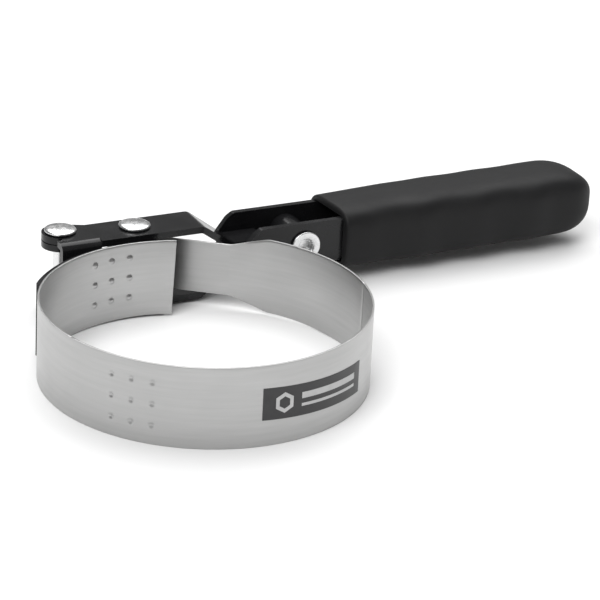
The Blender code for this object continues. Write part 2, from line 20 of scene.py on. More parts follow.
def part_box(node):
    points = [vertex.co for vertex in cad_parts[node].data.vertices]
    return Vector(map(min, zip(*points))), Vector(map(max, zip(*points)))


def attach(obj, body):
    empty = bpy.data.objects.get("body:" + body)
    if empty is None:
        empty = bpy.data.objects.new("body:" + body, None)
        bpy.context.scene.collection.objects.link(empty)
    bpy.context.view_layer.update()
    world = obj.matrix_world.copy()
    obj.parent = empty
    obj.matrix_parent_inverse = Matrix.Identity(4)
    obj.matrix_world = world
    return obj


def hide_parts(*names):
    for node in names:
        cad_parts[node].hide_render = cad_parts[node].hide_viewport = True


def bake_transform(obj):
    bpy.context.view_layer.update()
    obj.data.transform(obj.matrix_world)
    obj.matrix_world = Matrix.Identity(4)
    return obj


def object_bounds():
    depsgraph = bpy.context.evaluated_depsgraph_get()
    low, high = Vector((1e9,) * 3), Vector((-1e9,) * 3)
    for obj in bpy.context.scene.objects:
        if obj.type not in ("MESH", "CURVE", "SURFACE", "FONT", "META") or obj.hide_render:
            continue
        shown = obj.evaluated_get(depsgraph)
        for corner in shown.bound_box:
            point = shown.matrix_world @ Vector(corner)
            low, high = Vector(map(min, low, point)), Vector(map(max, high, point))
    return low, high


MM = 0.001
ORIGIN = Vector((0.0, 0.0, 0.0))
UP = Vector((0.0, 0.0, 1.0))
FULL_TURN = 360.0
DOME_STEPS = 12
LOG = logging.getLogger("filter_wrench")
MeshItem = bmesh.types.BMVert | bmesh.types.BMEdge | bmesh.types.BMFace
Colour = tuple[float, float, float]
Profile = list[tuple[float, float]]

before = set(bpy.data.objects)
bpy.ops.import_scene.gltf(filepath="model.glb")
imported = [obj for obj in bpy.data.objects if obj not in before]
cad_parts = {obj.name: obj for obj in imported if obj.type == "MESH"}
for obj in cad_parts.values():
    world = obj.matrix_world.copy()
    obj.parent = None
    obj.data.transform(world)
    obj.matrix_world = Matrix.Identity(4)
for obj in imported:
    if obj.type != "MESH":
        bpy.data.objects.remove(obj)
CAD_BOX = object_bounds()


class Body(Enum):
    """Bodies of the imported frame."""

    BAND = "band"
    JAW = "jaw"
    TONGUE = "tongue"
    YOKE = "yoke"
    HANDLE = "handle"


class Slot(Enum):
    """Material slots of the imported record."""

    STEEL = "strap_steel"
    PAINT = "black_paint"
    ZINC = "zinc_plate"
    RUBBER = "grip_rubber"


# --------------------------------------------------------------------------- materials


class Graph:
    """The node tree of one material, with short ways to add and join its nodes."""

    def __init__(self, name: str) -> None:
        """Starts a material that holds only its Principled shader.

        Args:
            name: The material's name.
        """
        self.material = bpy.data.materials.new(name)
        self.material.use_nodes = True
        self.tree = self.material.node_tree
        self.shader = self.tree.nodes["Principled BSDF"]

    def add(self, kind: str, **settings: object) -> bpy.types.Node:
        """Adds a node.

        Args:
            kind: The node's type.
            settings: Values for the node's own properties.

        Returns:
            The new node.
        """
        node = self.tree.nodes.new(kind)
        for key, value in settings.items():
            setattr(node, key, value)
        return node

    def join(self, source: bpy.types.NodeSocket, target: bpy.types.NodeSocket) -> None:
        """Links an output socket to an input socket."""
        self.tree.links.new(source, target)

    def fix(self, **values: object) -> None:
        """Sets constants straight on the shader's sockets, with _ for each space in a name."""
        for key, value in values.items():
            self.shader.inputs[key.replace("_", " ")].default_value = value

    def drive(self, name: str, source: bpy.types.NodeSocket) -> None:
        """Links an output socket to one of the shader's sockets."""
        self.join(source, self.shader.inputs[name])

    def place(self) -> bpy.types.NodeSocket:
        """Object coordinates, in metres."""
        return self.add("ShaderNodeTexCoord").outputs["Object"]

    def math(self, operation: str, *operands: bpy.types.NodeSocket | float) -> bpy.types.NodeSocket:
        """Adds one Math node.

        Args:
            operation: What it works out.
            operands: Its inputs in order, each a socket or a constant.

        Returns:
            The result's socket.
        """
        node = self.add("ShaderNodeMath", operation=operation)
        for target, operand in zip(node.inputs, operands):
            if isinstance(operand, bpy.types.NodeSocket):
                self.join(operand, target)
            else:
                target.default_value = operand
        return node.outputs["Value"]

    def mapped(
        self,
        vector: bpy.types.NodeSocket,
        origin: Sequence[float] = (0.0, 0.0, 0.0),
        turn_deg: float = 0.0,
        scale: Sequence[float] = (1.0, 1.0, 1.0),
    ) -> bpy.types.NodeSocket:
        """Centres, turns about Z and then stretches a vector.

        Args:
            vector: The vector to change.
            origin: The point that becomes zero.
            turn_deg: The heading that becomes +X.
            scale: How much each axis is multiplied by.

        Returns:
            The changed vector.
        """
        node = self.add("ShaderNodeMapping", vector_type="TEXTURE")
        node.inputs["Location"].default_value = origin
        node.inputs["Rotation"].default_value = (0.0, 0.0, math.radians(turn_deg))
        node.inputs["Scale"].default_value = [1.0 / value for value in scale]
        self.join(vector, node.inputs["Vector"])
        return node.outputs["Vector"]

    def noise(
        self, vector: bpy.types.NodeSocket, scale: float, detail: float = 3.0, rough: float = 0.5
    ) -> bpy.types.NodeSocket:
        """Noise from 0 to 1.

        Args:
            vector: Where it is read.
            scale: Cells for each unit of the vector.
            detail: Octaves.
            rough: Strength of the finer octaves.

        Returns:
            The factor socket.
        """
        node = self.add("ShaderNodeTexNoise")
        node.inputs["Scale"].default_value = scale
        node.inputs["Detail"].default_value = detail
        node.inputs["Roughness"].default_value = rough
        self.join(vector, node.inputs["Vector"])
        return node.outputs["Fac"]

    def ranged(
        self, value: bpy.types.NodeSocket, low: float, high: float, start: float = 0.3, end: float = 0.7
    ) -> bpy.types.NodeSocket:
        """Turns a factor into a value.

        Args:
            value: The factor.
            low: The value up to the start.
            high: The value from the end on.
            start: The factor at which it begins to rise.
            end: The factor at which it stops.

        Returns:
            The value's socket.
        """
        node = self.add("ShaderNodeMapRange", clamp=True)
        for name, number in (
            ("From Min", start), ("From Max", end), ("To Min", low), ("To Max", high)
        ):
            node.inputs[name].default_value = number
        self.join(value, node.inputs["Value"])
        return node.outputs["Result"]

    def shaded(
        self, value: bpy.types.NodeSocket, dark: Colour, light: Colour,
        start: float = 0.3, end: float = 0.7,
    ) -> bpy.types.NodeSocket:
        """Turns a factor into a colour.

        Args:
            value: The factor.
            dark: The colour up to the start.
            light: The colour from the end on.
            start: The factor at which it begins to lighten.
            end: The factor at which it stops.

        Returns:
            The colour's socket.
        """
        ramp = self.add("ShaderNodeValToRGB")
        stops = ramp.color_ramp.elements
        stops[0].position, stops[1].position = start, end
        stops[0].color, stops[1].color = (*dark, 1.0), (*light, 1.0)
        self.join(value, ramp.inputs["Fac"])
        return ramp.outputs["Color"]

    def bump(
        self, height: bpy.types.NodeSocket, distance: float, strength: float,
        normal: bpy.types.NodeSocket | None = None,
    ) -> bpy.types.NodeSocket:
        """A bumped normal.

        Args:
            height: The height's factor.
            distance: Height in metres at a factor of 1.
            strength: Share of the effect.
            normal: A bumped normal to add to.

        Returns:
            The normal socket.
        """
        node = self.add("ShaderNodeBump")
        node.inputs["Distance"].default_value = distance
        node.inputs["Strength"].default_value = strength
        self.join(height, node.inputs["Height"])
        if normal is not None:
            self.join(normal, node.inputs["Normal"])
        return node.outputs["Normal"]


@dataclass(frozen=True)
class Finish:
    """What every finish has: shade and roughness that drift over it, and a fine grain."""

    name: str
    dark: Colour
    light: Colour
    smooth: float = 0.34
    dull: float = 0.46
    cloud_scale: float = 260.0
    cloud_detail: float = 3.0
    cloud_rough: float = 0.5
    grain_scale: float = 2800.0
    grain_detail: float = 1.0
    grain_rough: float = 0.5
    grain_depth: float = 0.004 * MM
    grain_strength: float = 0.3
    constants: ClassVar[dict[str, float]] = {}

    def grained(
        self, graph: Graph, under: bpy.types.NodeSocket | None = None
    ) -> bpy.types.NodeSocket:
        """Adds the fine grain.

        Args:
            graph: The finish's nodes.
            under: A bumped normal to add it to.

        Returns:
            The normal socket.
        """
        grain = graph.noise(graph.place(), self.grain_scale, self.grain_detail, self.grain_rough)
        return graph.bump(grain, self.grain_depth, self.grain_strength, under)

    def relief(self, graph: Graph) -> bpy.types.NodeSocket:
        """The finish's bumped normal: its grain alone, unless it has more to add."""
        return self.grained(graph)

    def material(self) -> bpy.types.Material:
        """Builds the finish.

        Returns:
            The material.
        """
        graph = Graph(self.name)
        graph.fix(**self.constants)
        cloud = graph.noise(graph.place(), self.cloud_scale, self.cloud_detail, self.cloud_rough)
        graph.drive("Base Color", graph.shaded(cloud, self.dark, self.light))
        graph.drive("Roughness", graph.ranged(cloud, self.smooth, self.dull))
        graph.drive("Normal", self.relief(graph))
        return graph.material


@dataclass(frozen=True)
class GlossPaint(Finish):
    """Black stoved paint on folded sheet: glossy, slightly wavy, dusty in places."""

    name: str = "black_paint_gloss"
    dark: Colour = (0.006, 0.006, 0.0065)
    light: Colour = (0.011, 0.011, 0.012)
    smooth: float = 0.15
    dull: float = 0.26
    cloud_scale: float = 110.0
    cloud_detail: float = 4.0
    cloud_rough: float = 0.6
    grain_scale: float = 2600.0
    grain_strength: float = 0.25
    peel_scale: float = 420.0
    peel_detail: float = 2.0
    peel_depth: float = 0.02 * MM
    peel_strength: float = 0.35
    constants: ClassVar[dict[str, float]] = {
        "Coat_Weight": 0.05, "Coat_Roughness": 0.1, "Specular_IOR_Level": 0.3,
    }

    def relief(self, graph: Graph) -> bpy.types.NodeSocket:
        """Lays the dust's grain over the paint's soft waves.

        Args:
            graph: The finish's nodes.

        Returns:
            The normal socket.
        """
        peel = graph.noise(graph.place(), self.peel_scale, self.peel_detail)
        return self.grained(graph, graph.bump(peel, self.peel_depth, self.peel_strength))


@dataclass(frozen=True)
class ZincPlate(Finish):
    """Bright zinc on the rivets, a little clouded."""

    name: str = "zinc_plate_bright"
    dark: Colour = (0.66, 0.665, 0.67)
    light: Colour = (0.80, 0.80, 0.80)
    smooth: float = 0.20
    dull: float = 0.34
    cloud_scale: float = 480.0
    cloud_detail: float = 4.0
    cloud_rough: float = 0.6
    grain_scale: float = 3200.0
    grain_detail: float = 2.0
    grain_depth: float = 0.006 * MM
    constants: ClassVar[dict[str, float]] = {"Metallic": 1.0}


@dataclass(frozen=True)
class SoftGrip(Finish):
    """Matt black soft plastic with a fine moulded texture."""

    name: str = "grip_rubber_soft"
    dark: Colour = (0.009, 0.009, 0.0095)
    light: Colour = (0.014, 0.014, 0.0145)
    smooth: float = 0.50
    dull: float = 0.64
    cloud_scale: float = 70.0
    cloud_detail: float = 4.0
    cloud_rough: float = 0.6
    grain_scale: float = 1900.0
    grain_detail: float = 2.0
    grain_rough: float = 0.6
    grain_depth: float = 0.03 * MM
    grain_strength: float = 0.5
    constants: ClassVar[dict[str, float]] = {"Specular_IOR_Level": 0.22}


@dataclass(frozen=True)
class BrushedSteel:
    """Spring steel with a fine grain that runs round the strap."""

    name: str = "strap_steel_brushed"
    dark: Colour = (0.43, 0.43, 0.427)
    light: Colour = (0.47, 0.47, 0.467)
    shade_range: tuple[float, float] = (0.35, 0.65)
    smooth: float = 0.30
    dull: float = 0.40
    cloud_scale: float = 60.0
    cloud_squash: float = 1.6
    seam_deg: float = 237.0
    cells_round: float = 5.0
    line_pitch: float = 0.16 * MM
    line_depth: float = 0.012 * MM
    line_strength: float = 0.5
    line_share: float = 0.45
    band_length: float = 3.0
    band_width: float = 1.0 / 0.12

    def around(self, graph: Graph, centre: Vector) -> bpy.types.NodeSocket:
        """Coordinates that follow the strap.

        Args:
            graph: The finish's nodes.
            centre: Centre of the ring.

        Returns:
            A vector of the angle round the ring and the height.
        """
        parts = graph.add("ShaderNodeSeparateXYZ")
        local = graph.mapped(graph.place(), origin=centre, turn_deg=self.seam_deg)
        graph.join(local, parts.inputs["Vector"])
        made = graph.add("ShaderNodeCombineXYZ")
        angle = graph.math("ARCTAN2", parts.outputs["Y"], parts.outputs["X"])
        graph.join(angle, made.inputs["X"])
        graph.join(parts.outputs["Z"], made.inputs["Y"])
        return made.outputs["Vector"]

    def material(self, centre: Vector) -> bpy.types.Material:
        """Builds the finish.

        Args:
            centre: Centre of the ring that the grain runs round.

        Returns:
            The material.
        """
        graph = Graph(self.name)
        graph.fix(Metallic=1.0)
        around = self.around(graph, centre)
        fine = graph.mapped(around, scale=(self.cells_round, 1.0 / self.line_pitch, 1.0))
        broad = graph.mapped(
            around,
            scale=(
                self.cells_round / self.band_length,
                1.0 / (self.line_pitch * self.band_width),
                1.0,
            ),
        )
        lines = graph.noise(fine, 1.0, detail=3.0, rough=0.65)
        bands = graph.noise(broad, 1.0, detail=2.0)
        rest = graph.math("MULTIPLY", bands, 1.0 - self.line_share)
        mixed = graph.math("MULTIPLY_ADD", lines, self.line_share, rest)
        graph.drive("Base Color", graph.shaded(mixed, self.dark, self.light, *self.shade_range))
        squashed = graph.mapped(graph.place(), scale=(1.0, 1.0, self.cloud_squash))
        cloud = graph.noise(squashed, self.cloud_scale)
        graph.drive("Roughness", graph.ranged(cloud, self.smooth, self.dull))
        graph.drive("Normal", graph.bump(lines, self.line_depth, self.line_strength))
        return graph.material


# --------------------------------------------------------------------------- mesh helpers


def polar(centre: Vector, radius: float, degrees: float) -> Vector:
    """The point at this angle of a circle in plan."""
    angle = math.radians(degrees)
    return centre + Vector((math.cos(angle), math.sin(angle), 0.0)) * radius


def eased(value: float, start: float, end: float) -> float:
    """Goes smoothly from 0 at start to 1 at end."""
    share = min(1.0, max(0.0, (value - start) / (end - start)))
    return share * share * (3.0 - 2.0 * share)


def finished(
    name: str,
    shape: bmesh.types.BMesh,
    material: bpy.types.Material,
    crease_deg: float = 28.0,
) -> bpy.types.Object:
    """Turns a bmesh into a shown object and frees it.

    Args:
        name: The piece's name.
        shape: Its mesh, already in place.
        material: Its finish.
        crease_deg: Angle above which two faces meet in a sharp edge.

    Returns:
        The object, at the origin.
    """
    mesh = bpy.data.meshes.new(name)
    shape.to_mesh(mesh)
    shape.free()
    mesh.materials.append(material)
    mesh.shade_smooth()
    mesh.set_sharp_from_angle(angle=math.radians(crease_deg))
    obj = bpy.data.objects.new(name, mesh)
    bpy.context.scene.collection.objects.link(obj)
    LOG.info("%s: %d faces", name, len(mesh.polygons))
    return obj


def bevelled(
    shape: bmesh.types.BMesh,
    width: float,
    segments: int = 2,
    angle_deg: float = 40.0,
    keep: Callable[[bmesh.types.BMEdge], bool] | None = None,
) -> None:
    """Rounds the sharp edges of a closed mesh.

    Args:
        shape: The mesh.
        width: Width of the rounding.
        segments: Faces across it.
        angle_deg: Edges sharper than this are rounded.
        keep: Says which of them are left alone.
    """
    limit = math.radians(angle_deg)
    sharp = [
        edge
        for edge in shape.edges
        if edge.is_manifold and edge.calc_face_angle() > limit and not (keep and keep(edge))
    ]
    bmesh.ops.bevel(
        shape, geom=sharp, offset=width, offset_type="OFFSET", affect="EDGES",
        segments=segments, profile=0.5, material=-1, clamp_overlap=True,
    )


def dome(radius: float, foot: float, rise: float) -> Profile:
    """Half the outline of a domed head.

    Args:
        radius: Radius of its rim.
        foot: Height of its rim.
        rise: Height of its middle above the rim.

    Returns:
        Radius and height of each corner, from the middle down to the rim.
    """
    angles = [math.pi / 2 * step / DOME_STEPS for step in range(DOME_STEPS + 1)]
    return [(radius * math.sin(angle), foot + rise * math.cos(angle)) for angle in angles]


def spun_profile(profile: Profile, steps: int) -> bmesh.types.BMesh:
    """A solid turned about Z.

    Args:
        profile: Radius and height of each corner, from the top's middle to the bottom's.
        steps: Faces round it.

    Returns:
        The closed mesh, with its normals outward.
    """
    shape = bmesh.new()
    corners = [shape.verts.new((radius, 0.0, height)) for radius, height in profile]
    line = [shape.edges.new(pair) for pair in zip(corners, corners[1:])]
    bmesh.ops.spin(
        shape, geom=corners + line, cent=(0, 0, 0), axis=UP, dvec=(0, 0, 0),
        angle=2.0 * math.pi, steps=steps, use_merge=True, use_duplicate=False,
    )
    bmesh.ops.remove_doubles(shape, verts=shape.verts, dist=1e-7)
    bmesh.ops.recalc_face_normals(shape, faces=shape.faces)
    return shape


# --------------------------------------------------------------------------- strap


@dataclass(frozen=True)
class Bend:
    """One stretch of the strap's path in plan, all of one curvature."""

    centre: Vector
    radius: float
    start_deg: float
    end_deg: float
    step_deg: float = 2.0


@dataclass(frozen=True)
class Run:
    """One straight stretch of the strap's path in plan."""

    start: Vector
    end: Vector
    steps: int = 12


@dataclass(frozen=True)
class DimpleGroup:
    """Nine punched dimples that help the strap to hold."""

    centre: Vector
    radius: float
    middle_deg: float
    level: float
    pitch_deg: float


@dataclass
class Strap:
    """The steel strip: a ring with a flatter tail inside, and a tongue hooked on its rivet."""

    place: Vector
    width: float = 25.0 * MM
    thickness: float = 0.6 * MM
    ring_radius: float = 48.8 * MM
    tail_radius: float = 43.6 * MM
    tail_start_deg: float = 170.0
    tail_end_deg: float = 71.0
    flare_start_deg: float = 38.0
    flare_radius: float = 65.0 * MM
    flare_hinge_deg: float = 41.5
    anchor: Vector = Vector((1.2 * MM, 56.4 * MM, 0.0))
    loop_radius: float = 3.35 * MM
    loop_wrap_deg: float = 285.0
    band_seam_deg: float = 195.0
    jaw_seam_deg: float = 352.0
    tail_fine_deg: tuple[float, float] = (88.0, 109.0)
    tail_fine_step: float = 0.36
    front_fine_deg: tuple[float, float] = (211.0, 231.0)
    front_fine_step: float = 0.33
    bend_reach: float = 47.0 * MM
    bend_level: float = -13.0 * MM
    flex_start: Vector = Vector((46.0, 17.0, 0.0)) * MM
    flex_end: Vector = Vector((24.0, 45.0, 0.0)) * MM
    hinge_low: float = -11.65 * MM
    tongue_low: float = -8.05 * MM
    tongue_high: float = 8.85 * MM
    taper_length: float = 12.0 * MM
    narrow_start_deg: float = 8.0
    narrow_end_deg: float = 42.0
    tail_lift: float = 0.75 * MM
    lift_end_deg: float = 130.0
    tail_lean: float = 1.0 * MM
    lean_deg: float = 14.0
    dimple_radius: float = 1.15 * MM
    dimple_depth: float = 0.42 * MM
    dimple_pitch: float = 6.6 * MM
    fine_height: float = 9.2 * MM
    fine_rows: int = 62
    coarse_rows: int = 3
    edge_round: float = 0.1 * MM

    def __post_init__(self) -> None:
        """Works out the centres of the strap's wider and tighter bends."""
        self.tail_centre = polar(
            ORIGIN, self.ring_radius - self.tail_radius, self.tail_start_deg
        )
        leaves = polar(ORIGIN, self.ring_radius, self.flare_start_deg)
        self.flare_centre = polar(leaves, -self.flare_radius, self.flare_start_deg)
        self.fold = polar(self.flare_centre, self.flare_radius, self.flare_hinge_deg)
        across = self.anchor - self.flare_centre
        share = (self.flare_radius - self.loop_radius) / across.length
        self.leave_deg = math.degrees(math.atan2(across.y, across.x) - math.acos(share))

    def groups(self) -> list[DimpleGroup]:
        """The dimple groups: one on the tail and one on the front of the ring."""
        tail, ring = self.tail_radius, self.ring_radius
        return [
            DimpleGroup(self.tail_centre, tail, middle_deg=98.4, level=1.0 * MM, pitch_deg=8.05),
            DimpleGroup(ORIGIN, ring, middle_deg=221.0, level=0.0, pitch_deg=7.4),
        ]

    def swept(self, bends: Sequence[Bend | Run], fine: bool) -> bmesh.types.BMesh:
        """Spins a line of vertices through the bends, on the strap's outer face.

        Args:
            bends: The path, each stretch starting where the last one ends, a bend first.
            fine: True where the strip needs rows close enough for dimples.

        Returns:
            The open sheet.
        """
        shape = bmesh.new()
        first = bends[0]
        start = polar(first.centre, first.radius + self.thickness / 2, first.start_deg)
        half = self.width / 2
        heights = (-half, -self.fine_height, self.fine_height, half)
        corners = [shape.verts.new(start + UP * height) for height in heights]
        edges = [shape.edges.new(pair) for pair in zip(corners, corners[1:])]
        middle = self.fine_rows if fine else self.coarse_rows * 3
        for edge, cuts in zip(edges, (self.coarse_rows, middle, self.coarse_rows)):
            bmesh.ops.subdivide_edges(shape, edges=[edge], cuts=cuts)
        line = shape.verts[:] + shape.edges[:]
        for bend in bends:
            if isinstance(bend, Run):
                line = self.straight(shape, line, bend)
                continue
            turn = bend.end_deg - bend.start_deg
            line = bmesh.ops.spin(
                shape, geom=line, cent=bend.centre, axis=UP, dvec=(0, 0, 0),
                angle=math.radians(turn), steps=max(1, round(abs(turn) / bend.step_deg)),
                use_merge=False, use_duplicate=False,
            )["geom_last"]
        return shape

    @staticmethod
    def straight(
        shape: bmesh.types.BMesh, line: Sequence[MeshItem], run: Run
    ) -> list[MeshItem]:
        """Extrudes the end of a sheet along a straight stretch.

        Args:
            shape: The sheet.
            line: Vertices and edges of its end.
            run: The stretch.

        Returns:
            Vertices and edges of the new end.
        """
        for _ in range(run.steps):
            edges = [item for item in line if isinstance(item, bmesh.types.BMEdge)]
            grown = bmesh.ops.extrude_edge_only(shape, edges=edges)["geom"]
            line = [item for item in grown if not isinstance(item, bmesh.types.BMFace)]
            moved = [item for item in line if isinstance(item, bmesh.types.BMVert)]
            bmesh.ops.translate(shape, verts=moved, vec=(run.end - run.start) / run.steps)
        return line

    def punch(self, shape: bmesh.types.BMesh) -> None:
        """Presses the dimples into a sheet from its outer face.

        Args:
            shape: The sheet.
        """
        for group in self.groups():
            for column in (-1, 0, 1):
                angle = group.middle_deg + column * group.pitch_deg
                outer = group.radius + self.thickness / 2
                foot = polar(group.centre, outer, angle)
                inward = (group.centre - foot).normalized()
                for row in (-1, 0, 1):
                    middle = foot + UP * (group.level + row * self.dimple_pitch)
                    for vertex in shape.verts:
                        away = (vertex.co - middle).length / self.dimple_radius
                        if away < 1.0:
                            dip = 0.5 + 0.5 * math.cos(math.pi * away)
                            vertex.co += inward * self.dimple_depth * dip

    def thickened(
        self, shape: bmesh.types.BMesh, seams: Iterable[tuple[Vector, float]]
    ) -> bmesh.types.BMesh:
        """Gives a sheet its thickness and rounds its free edges.

        Args:
            shape: The sheet on the strap's outer face.
            seams: Centre and angle of each end that meets the next stretch of the strap.

        Returns:
            The same mesh, closed.
        """
        bmesh.ops.recalc_face_normals(shape, faces=shape.faces)
        probe = shape.faces[0]
        outward = probe.calc_center_median()
        outward.z = 0.0
        if probe.normal.dot(outward) < 0.0:
            bmesh.ops.reverse_faces(shape, faces=shape.faces)
        bmesh.ops.solidify(shape, geom=shape.faces[:], thickness=self.thickness)
        bmesh.ops.recalc_face_normals(shape, faces=shape.faces)
        planes = [(centre, polar(ORIGIN, 1.0, angle + 90.0)) for centre, angle in seams]

        def at_seam(edge: bmesh.types.BMEdge) -> bool:
            """True for an edge that lies in the plane of a seam."""
            return any(
                all(abs((vertex.co - centre).dot(normal)) < 1e-6 for vertex in edge.verts)
                for centre, normal in planes
            )

        bevelled(shape, self.edge_round, segments=2, angle_deg=60.0, keep=at_seam)
        return shape

    def lift_tail(self, shape: bmesh.types.BMesh) -> None:
        """Raises the lower edge a little towards the tail's end, and leans the end itself.

        Args:
            shape: The tail.
        """
        half = self.width / 2
        for vertex in shape.verts:
            away = vertex.co - self.tail_centre
            angle = math.degrees(math.atan2(away.y, away.x))
            if 0.0 < angle < self.lift_end_deg:
                depth = (half - vertex.co.z) / self.width
                lean = 1.0 - eased(angle, self.tail_end_deg, self.tail_end_deg + self.lean_deg)
                vertex.co.x -= self.tail_lean * lean * depth
                share = 1.0 - eased(angle, self.tail_end_deg, self.lift_end_deg)
                vertex.co.z += self.tail_lift * share * depth

    def taper(self, shape: bmesh.types.BMesh) -> None:
        """Narrows the strip from the ring to the tongue.

        Args:
            shape: The strip.
        """
        half = self.width / 2
        middle_deg = (self.flare_hinge_deg + self.leave_deg) / 2 + 90.0
        heading = polar(ORIGIN, 1.0, middle_deg)
        for vertex in shape.verts:
            angle = math.degrees(math.atan2(vertex.co.y, vertex.co.x))
            narrowed = eased(angle, self.narrow_start_deg, self.narrow_end_deg)
            low = -half + (self.hinge_low + half) * narrowed
            share = min(1.0, max(0.0, (vertex.co - self.fold).dot(heading) / self.taper_length))
            low += (self.tongue_low - self.hinge_low) * share
            high = half + (self.tongue_high - half) * share
            vertex.co.z = low + (vertex.co.z + half) / self.width * (high - low)

    def build_tail(self, steel: bpy.types.Material) -> bpy.types.Object:
        """Builds the tail and the ring's first stretch, which stay with the band.

        Args:
            steel: The strap's finish.

        Returns:
            The piece.
        """
        tail, radius = self.tail_centre, self.tail_radius
        first, last = self.tail_fine_deg
        shape = self.swept(
            [
                Bend(tail, radius, self.tail_end_deg, first),
                Bend(tail, radius, first, last, self.tail_fine_step),
                Bend(tail, radius, last, self.tail_start_deg),
                Bend(ORIGIN, self.ring_radius, self.tail_start_deg, self.band_seam_deg),
            ],
            fine=True,
        )
        self.punch(shape)
        self.thickened(shape, [(ORIGIN, self.band_seam_deg)])
        self.lift_tail(shape)
        bmesh.ops.translate(shape, verts=shape.verts, vec=self.place)
        made = finished("strap_tail_side", shape, steel)
        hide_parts("strap_left")
        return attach(made, Body.BAND.value)

    def build_front(self, steel: bpy.types.Material) -> bpy.types.Object:
        """Builds the front of the ring as one piece fixed in the frame, though the real strip bends
        there as the strap closes.

        Args:
            steel: The strap's finish.

        Returns:
            The piece.
        """
        ring = self.ring_radius
        first, last = self.front_fine_deg
        shape = self.swept(
            [
                Bend(ORIGIN, ring, self.band_seam_deg, first),
                Bend(ORIGIN, ring, first, last, self.front_fine_step),
                Bend(ORIGIN, ring, last, self.jaw_seam_deg),
            ],
            fine=True,
        )
        self.punch(shape)
        self.thickened(shape, [(ORIGIN, self.band_seam_deg), (ORIGIN, self.jaw_seam_deg)])
        bmesh.ops.translate(shape, verts=shape.verts, vec=self.place)
        made = finished("strap_front", shape, steel)
        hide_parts("strap_left", "strap_right")
        return self.bend_front(made)

    def bend_front(self, piece: bpy.types.Object) -> bpy.types.Object:
        """Bakes a piece on the front of the ring into its place in the frame.

        Args:
            piece: The piece.

        Returns:
            The same piece.
        """
        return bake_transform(piece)

    def build_right(self, steel: bpy.types.Material) -> bpy.types.Object:
        """Builds the right of the ring, the tapering tongue and the hook round the anchor.

        Args:
            steel: The strap's finish.

        Returns:
            The piece.
        """
        flare = self.flare_centre
        outer = self.thickness / 2
        leaves = polar(flare, self.flare_radius + outer, self.leave_deg)
        joins = polar(self.anchor, self.loop_radius + outer, self.leave_deg)
        shape = self.swept(
            [
                Bend(
                    ORIGIN, self.ring_radius, self.jaw_seam_deg,
                    FULL_TURN + self.flare_start_deg,
                ),
                Bend(flare, self.flare_radius, self.flare_start_deg, self.leave_deg, 1.0),
                Run(leaves, joins),
                Bend(
                    self.anchor, self.loop_radius, self.leave_deg,
                    self.leave_deg + self.loop_wrap_deg, 7.5,
                ),
            ],
            fine=False,
        )
        self.thickened(shape, [(ORIGIN, self.jaw_seam_deg)])
        self.taper(shape)
        bmesh.ops.translate(shape, verts=shape.verts, vec=self.place)
        made = finished("strap_tongue_side", shape, steel)
        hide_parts("strap_right", "strap_tongue")
        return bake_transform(made)

    def build(self, steel: bpy.types.Material) -> None:
        """Builds the whole strip.

        Args:
            steel: The strap's finish.
        """
        self.build_tail(steel)
        self.build_front(steel)
        self.build_right(steel)


